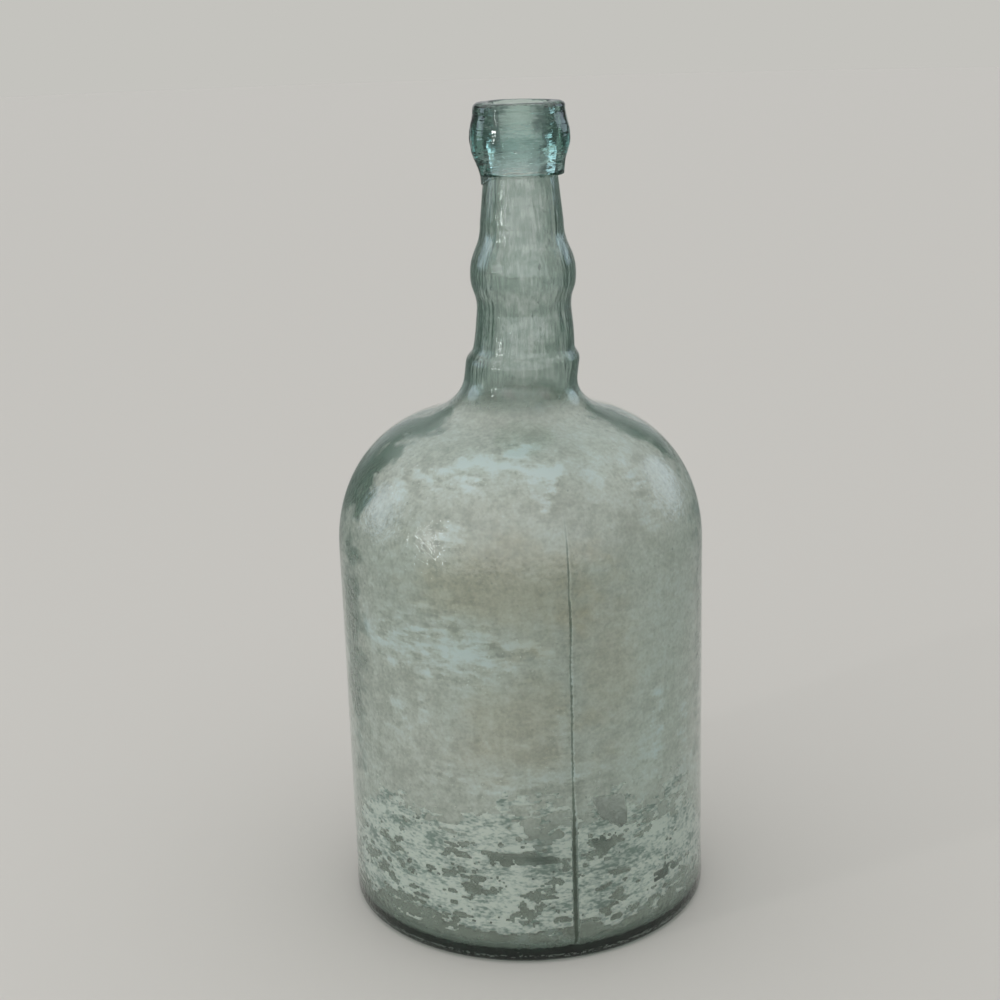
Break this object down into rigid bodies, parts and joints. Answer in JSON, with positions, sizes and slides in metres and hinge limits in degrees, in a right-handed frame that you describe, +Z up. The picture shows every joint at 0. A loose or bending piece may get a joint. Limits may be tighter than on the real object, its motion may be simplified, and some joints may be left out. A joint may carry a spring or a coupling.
{
  "type": "demijohn",
  "caption": "Tall mould-blown aqua glass demijohn with a domed shoulder, a bulbed neck, an applied lip with a drip, and dried lime scale inside.",
  "frame": {"origin": "middle of the flat ring that the bottle stands on", "axes": "+Z up along the body's axis; -Y towards the viewer of the picture; +X to the viewer's right, the side the neck stands over to"},
  "size_m": [0.18, 0.18, 0.3976],
  "materials": {
    "aqua_glass": "mould-blown soda-lime glass, wavy and glossy",
    "lip_glass": "thick hand-tooled glass, glossy",
    "lime_film": "thin dried lime haze, matt",
    "lime_scale": "flaky dried lime, matt"
  },
  "bodies": {
    "root": {"bottle_body": "aqua_glass", "applied_lip": "lip_glass", "lime_film": "lime_film", "tide_scale": "lime_scale"}
  },
  "joints": []
}
